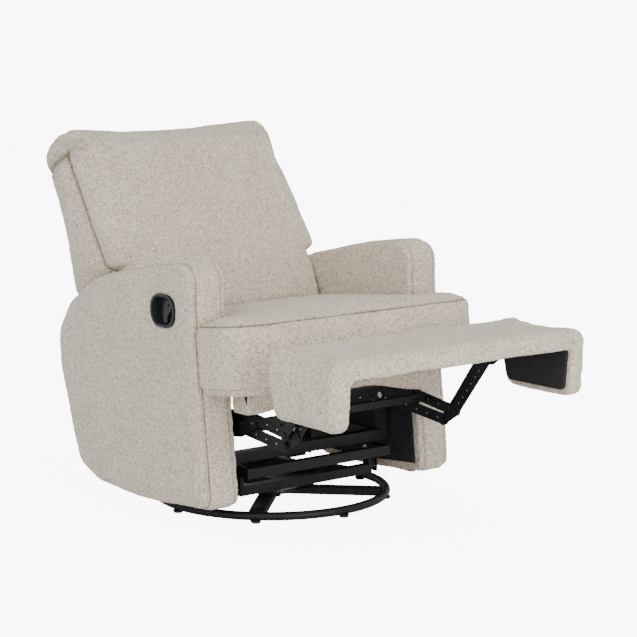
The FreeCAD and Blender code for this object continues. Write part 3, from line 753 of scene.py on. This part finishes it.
def slack_sheet(name, source, sign, spacing=0.014, slack=0.0022):
    """Lining that hangs a little slack on the flat side of a board; sign is the side, along X."""
    bm, area = faces_of(source, lambda face: face.normal.x * sign >= 0.97)
    sliced(bm, (1, 2), spacing)
    edge = {vertex for item in bm.edges if item.is_boundary for vertex in item.verts}
    for vertex in bm.verts:
        ease = 0.25 if vertex in edge else 1.0
        wave = noise.noise(vertex.co * 16) * 0.6 + noise.noise(vertex.co * 40) * 0.4
        vertex.co.x += sign * ease * slack * (0.5 + 0.5 * wave)
    piece = lining_piece(name, bm, "chair")
    for face in piece.data.polygons:
        face.use_smooth = True
    return piece, area


def wrapped_sheet(name, source, body, toward, keep, spacing):
    """Lining that is pulled over a board and round its edges, but not behind it."""
    bm, area = faces_of(source, lambda face: face.normal.dot(toward) >= -0.5
                        and keep(face.calc_center_median()))
    sliced(bm, (0, 1, 2), spacing)
    bm.normal_update()
    moves = [(vertex, vertex.normal.copy()) for vertex in bm.verts]
    for vertex, normal in moves:
        wave = 0.5 + 0.5 * noise.noise(vertex.co * 30)
        vertex.co += normal * (0.0005 + 0.0007 * wave)
    return lining_piece(name, bm, body), area


under, area = wrapped_sheet("footrest_lining", "footrest_board", "footrest",
                            Vector((0, 0, -1)), lambda co: True, 0.02)
for side, sign in (("left", 1), ("right", -1)):
    wing, area = wrapped_sheet("footrest_wing_lining_" + side, "footrest_wing_boards",
                               "footrest", Vector((-sign, 0, 0)), lambda co: co.x * sign > 0, 0.02)

rail_lining, area = wrapped_sheet("rail_lining", "seat_rail_front", "chair", Vector((0, 0, -1)),
                                  lambda co: True, 0.012)

for side, sign in (("left", 1), ("right", -1)):
    source = "arm_liner_" + side
    piece, area = slack_sheet("arm_lining_" + side, source, -sign)
    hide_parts(source)

# Frame: tubes, plates and links are steel with a satin black powder coat, pins and springs are
# zinc plated, the boards are plywood, and the handle and the glides are moulded.


def black_steel_material():
    material, tree, shader, place = node_material("powder_coat")
    grain = texture(tree, place, "ShaderNodeTexNoise", 900, Detail=2.0)
    dust = texture(tree, place, "ShaderNodeTexNoise", 30, Detail=4.0)
    tree.links.new(ramp(tree, dust.outputs["Fac"], [(0.35, (0.004, 0.004, 0.005)),
                                                    (0.75, (0.010, 0.010, 0.012))]),
                   shader.inputs["Base Color"])
    tree.links.new(ramp(tree, dust.outputs["Fac"], [(0.3, (0.40, 0.40, 0.40)),
                                                    (0.7, (0.55, 0.55, 0.55))]),
                   shader.inputs["Roughness"])
    shader.inputs["Specular IOR Level"].default_value = 0.3
    bumped(tree, shader, [(grain.outputs["Fac"], 0.12, 0.0004)])
    return material


def zinc_material():
    material, tree, shader, place = node_material("zinc_plate")
    spangle = texture(tree, place, "ShaderNodeTexVoronoi", 260)
    scratches = texture(tree, place, "ShaderNodeTexNoise", 500, Detail=3.0)
    tree.links.new(ramp(tree, spangle.outputs["Distance"], [(0.0, (0.50, 0.51, 0.53)),
                                                            (0.9, (0.66, 0.67, 0.68))]),
                   shader.inputs["Base Color"])
    shader.inputs["Metallic"].default_value = 1.0
    tree.links.new(ramp(tree, scratches.outputs["Fac"], [(0.3, (0.28, 0.28, 0.28)),
                                                         (0.7, (0.42, 0.42, 0.42))]),
                   shader.inputs["Roughness"])
    bumped(tree, shader, [(scratches.outputs["Fac"], 0.08, 0.0003)])
    return material


def plywood_material():
    material, tree, shader, place = node_material("plywood")
    grain = texture(tree, place, "ShaderNodeTexWave", 9, Distortion=7.0, Detail=3.0)
    fine = texture(tree, place, "ShaderNodeTexNoise", 180, Detail=3.0)
    wood = ramp(tree, grain.outputs["Fac"], [(0.2, (0.50, 0.33, 0.18)), (0.8, (0.68, 0.49, 0.30))])
    speck = ramp(tree, fine.outputs["Fac"], [(0.3, (0.86, 0.84, 0.82)), (0.6, (1, 1, 1))])
    tree.links.new(mixed(tree, 0.8, wood, speck, "MULTIPLY"), shader.inputs["Base Color"])
    shader.inputs["Roughness"].default_value = 0.7
    bumped(tree, shader, [(fine.outputs["Fac"], 0.15, 0.0006)])
    return material


def moulded_material(name, dark, light, rough):
    material, tree, shader, place = node_material(name)
    grain = texture(tree, place, "ShaderNodeTexVoronoi", 1400)
    cloud = texture(tree, place, "ShaderNodeTexNoise", 60, Detail=2.0)
    tree.links.new(ramp(tree, cloud.outputs["Fac"], [(0.3, dark), (0.7, light)]),
                   shader.inputs["Base Color"])
    shader.inputs["Roughness"].default_value = rough
    bumped(tree, shader, [(grain.outputs["Distance"], 0.15, 0.0003)])
    return material


black_steel = black_steel_material()
zinc = zinc_material()
plywood = plywood_material()
plastic = moulded_material("handle_plastic", (0.010, 0.010, 0.011), (0.018, 0.018, 0.02), 0.55)
rubber = moulded_material("glide_rubber", (0.012, 0.012, 0.012), (0.02, 0.02, 0.02), 0.75)

finishes = {"black_steel": black_steel, "zinc_steel": zinc, "plywood": plywood,
            "black_plastic": plastic, "black_rubber": rubber, "black_lining": lining,
            "boucle_fabric": boucle}
for entry in frame["record"]["subparts"]:
    dressed(nodes[entry["node"]], finishes[entry["material_slot"]])

# Link rivets: small zinc rivets and pins that stiffen the stamped links of the footrest
# mechanism. They run through the links in short rows between the pivots.


def rivet_tree():
    tree = bpy.data.node_groups.new("rivet_rows", "GeometryNodeTree")
    tree.interface.new_socket("Places", in_out="INPUT", socket_type="NodeSocketGeometry")
    size = tree.interface.new_socket("Radius", in_out="INPUT", socket_type="NodeSocketFloat")
    length = tree.interface.new_socket("Length", in_out="INPUT", socket_type="NodeSocketFloat")
    finish = tree.interface.new_socket("Finish", in_out="INPUT", socket_type="NodeSocketMaterial")
    tree.interface.new_socket("Rivets", in_out="OUTPUT", socket_type="NodeSocketGeometry")
    new = tree.nodes.new
    start = new("NodeGroupInput")
    end = new("NodeGroupOutput")
    shank = new("GeometryNodeMeshCylinder")
    shank.inputs["Vertices"].default_value = 16
    turned = new("GeometryNodeTransform")
    turned.inputs["Rotation"].default_value = (0, math.pi / 2, 0)
    spread = new("GeometryNodeInstanceOnPoints")
    real = new("GeometryNodeRealizeInstances")
    painted = new("GeometryNodeSetMaterial")
    join = tree.links.new
    join(start.outputs["Radius"], shank.inputs["Radius"])
    join(start.outputs["Length"], shank.inputs["Depth"])
    join(shank.outputs["Mesh"], turned.inputs["Geometry"])
    join(start.outputs["Places"], spread.inputs["Points"])
    join(turned.outputs["Geometry"], spread.inputs["Instance"])
    join(spread.outputs["Instances"], real.inputs["Geometry"])
    join(real.outputs["Geometry"], painted.inputs["Geometry"])
    join(start.outputs["Finish"], painted.inputs["Material"])
    join(painted.outputs["Geometry"], end.inputs["Rivets"])
    return tree, size.identifier, length.identifier, finish.identifier


rivet_rows, rivet_radius, rivet_length, rivet_finish = rivet_tree()
rivet_groups = {
    "front_links": (0.2585, [((-0.285, 0.2785), (-0.405, 0.2635), 4)]),
    "rear_links": (0.2585, [((-0.240, 0.2470), (-0.362, 0.2335), 4)]),
    "couplers": (0.2530, [((-0.448, 0.2830), (-0.522, 0.3770), 6)]),
    "chair": (0.2640, [((-0.270, 0.2700), (-0.150, 0.2500), 4),
                       ((-0.100, 0.2360), (0.170, 0.2330), 6)]),
}
for body, (layer, rows) in rivet_groups.items():
    places = []
    for start, end, count in rows:
        for number in range(count):
            t = number / (count - 1)
            y = start[0] + (end[0] - start[0]) * t
            z = start[1] + (end[1] - start[1]) * t
            places += [(layer, y, z), (-layer, y, z)]
    mesh = bpy.data.meshes.new("link_rivets_" + body)
    mesh.from_pydata(places, [], [])
    piece = bpy.data.objects.new("link_rivets_" + body, mesh)
    scene.collection.objects.link(piece)
    rows_of = piece.modifiers.new("rows", "NODES")
    rows_of.node_group = rivet_rows
    rows_of[rivet_radius] = 0.0024
    rows_of[rivet_length] = 0.0060
    rows_of[rivet_finish] = zinc
    made_plain(piece)
    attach(piece, body)

# Studio: a pale floor that runs up into a pale surround, soft boxes and a long lens.

reach = 30
floor_mesh = bpy.data.meshes.new("studio_floor")
floor_mesh.from_pydata([(-reach, -reach, 0), (reach, -reach, 0), (reach, reach, 0),
                        (-reach, reach, 0)], [], [(0, 1, 2, 3)])
floor = bpy.data.objects.new("studio_floor", floor_mesh)
scene.collection.objects.link(floor)
paper, paper_tree, paper_shader = node_material("pale_paper")[:3]
paper_shader.inputs["Base Color"].default_value = (0.80, 0.80, 0.80, 1)
paper_shader.inputs["Roughness"].default_value = 0.9


def seen_brighter(tree, shader, end, strength):
    """Surroundings that look almost white and still light the chair softly."""
    glow = tree.nodes.new("ShaderNodeEmission")
    glow.inputs["Strength"].default_value = strength
    both = tree.nodes.new("ShaderNodeAddShader")
    choice = tree.nodes.new("ShaderNodeMixShader")
    path = tree.nodes.new("ShaderNodeLightPath")
    tree.links.new(shader.outputs[0], both.inputs[0])
    tree.links.new(glow.outputs[0], both.inputs[1])
    tree.links.new(path.outputs["Is Camera Ray"], choice.inputs[0])
    tree.links.new(shader.outputs[0], choice.inputs[1])
    tree.links.new(both.outputs[0], choice.inputs[2])
    tree.links.new(choice.outputs[0], end.inputs["Surface"])


seen_brighter(paper_tree, paper_shader, paper_tree.nodes["Material Output"], 8.0)
dressed(floor, paper)

world = bpy.data.worlds.new("studio")
scene.world = world
world.use_nodes = True
background = world.node_tree.nodes["Background"]
background.inputs["Color"].default_value = (1.0, 1.0, 1.0, 1)
background.inputs["Strength"].default_value = 1.0
seen_brighter(world.node_tree, background, world.node_tree.nodes["World Output"], 8.2)


def soft_box(name, place, aim, size, power, color):
    light = bpy.data.lights.new(name, "AREA")
    light.shape = "SQUARE"
    light.size = size
    light.energy = power
    light.color = color
    lamp = bpy.data.objects.new(name, light)
    lamp.location = place
    lamp.rotation_euler = (Vector(aim) - Vector(place)).to_track_quat("-Z", "Y").to_euler()
    scene.collection.objects.link(lamp)


soft_box("front_light", (-0.4, -4.6, 1.5), (0, 0, 0.5), 2.4, 125, (1.0, 0.97, 0.925))
soft_box("side_light", (-4.2, -1.8, 1.8), (0, 0, 0.5), 2.4, 62, (0.98, 0.985, 1.0))

camera_data = bpy.data.cameras.new("camera")
camera_data.lens = 129.35
camera_data.sensor_width = 36
camera = bpy.data.objects.new("camera", camera_data)
camera.location = (-3.542, -4.650, 1.399)
camera.rotation_euler = Vector((0.6147, 0.7729, -0.1573)).to_track_quat("-Z", "Y").to_euler()
scene.collection.objects.link(camera)
scene.camera = camera
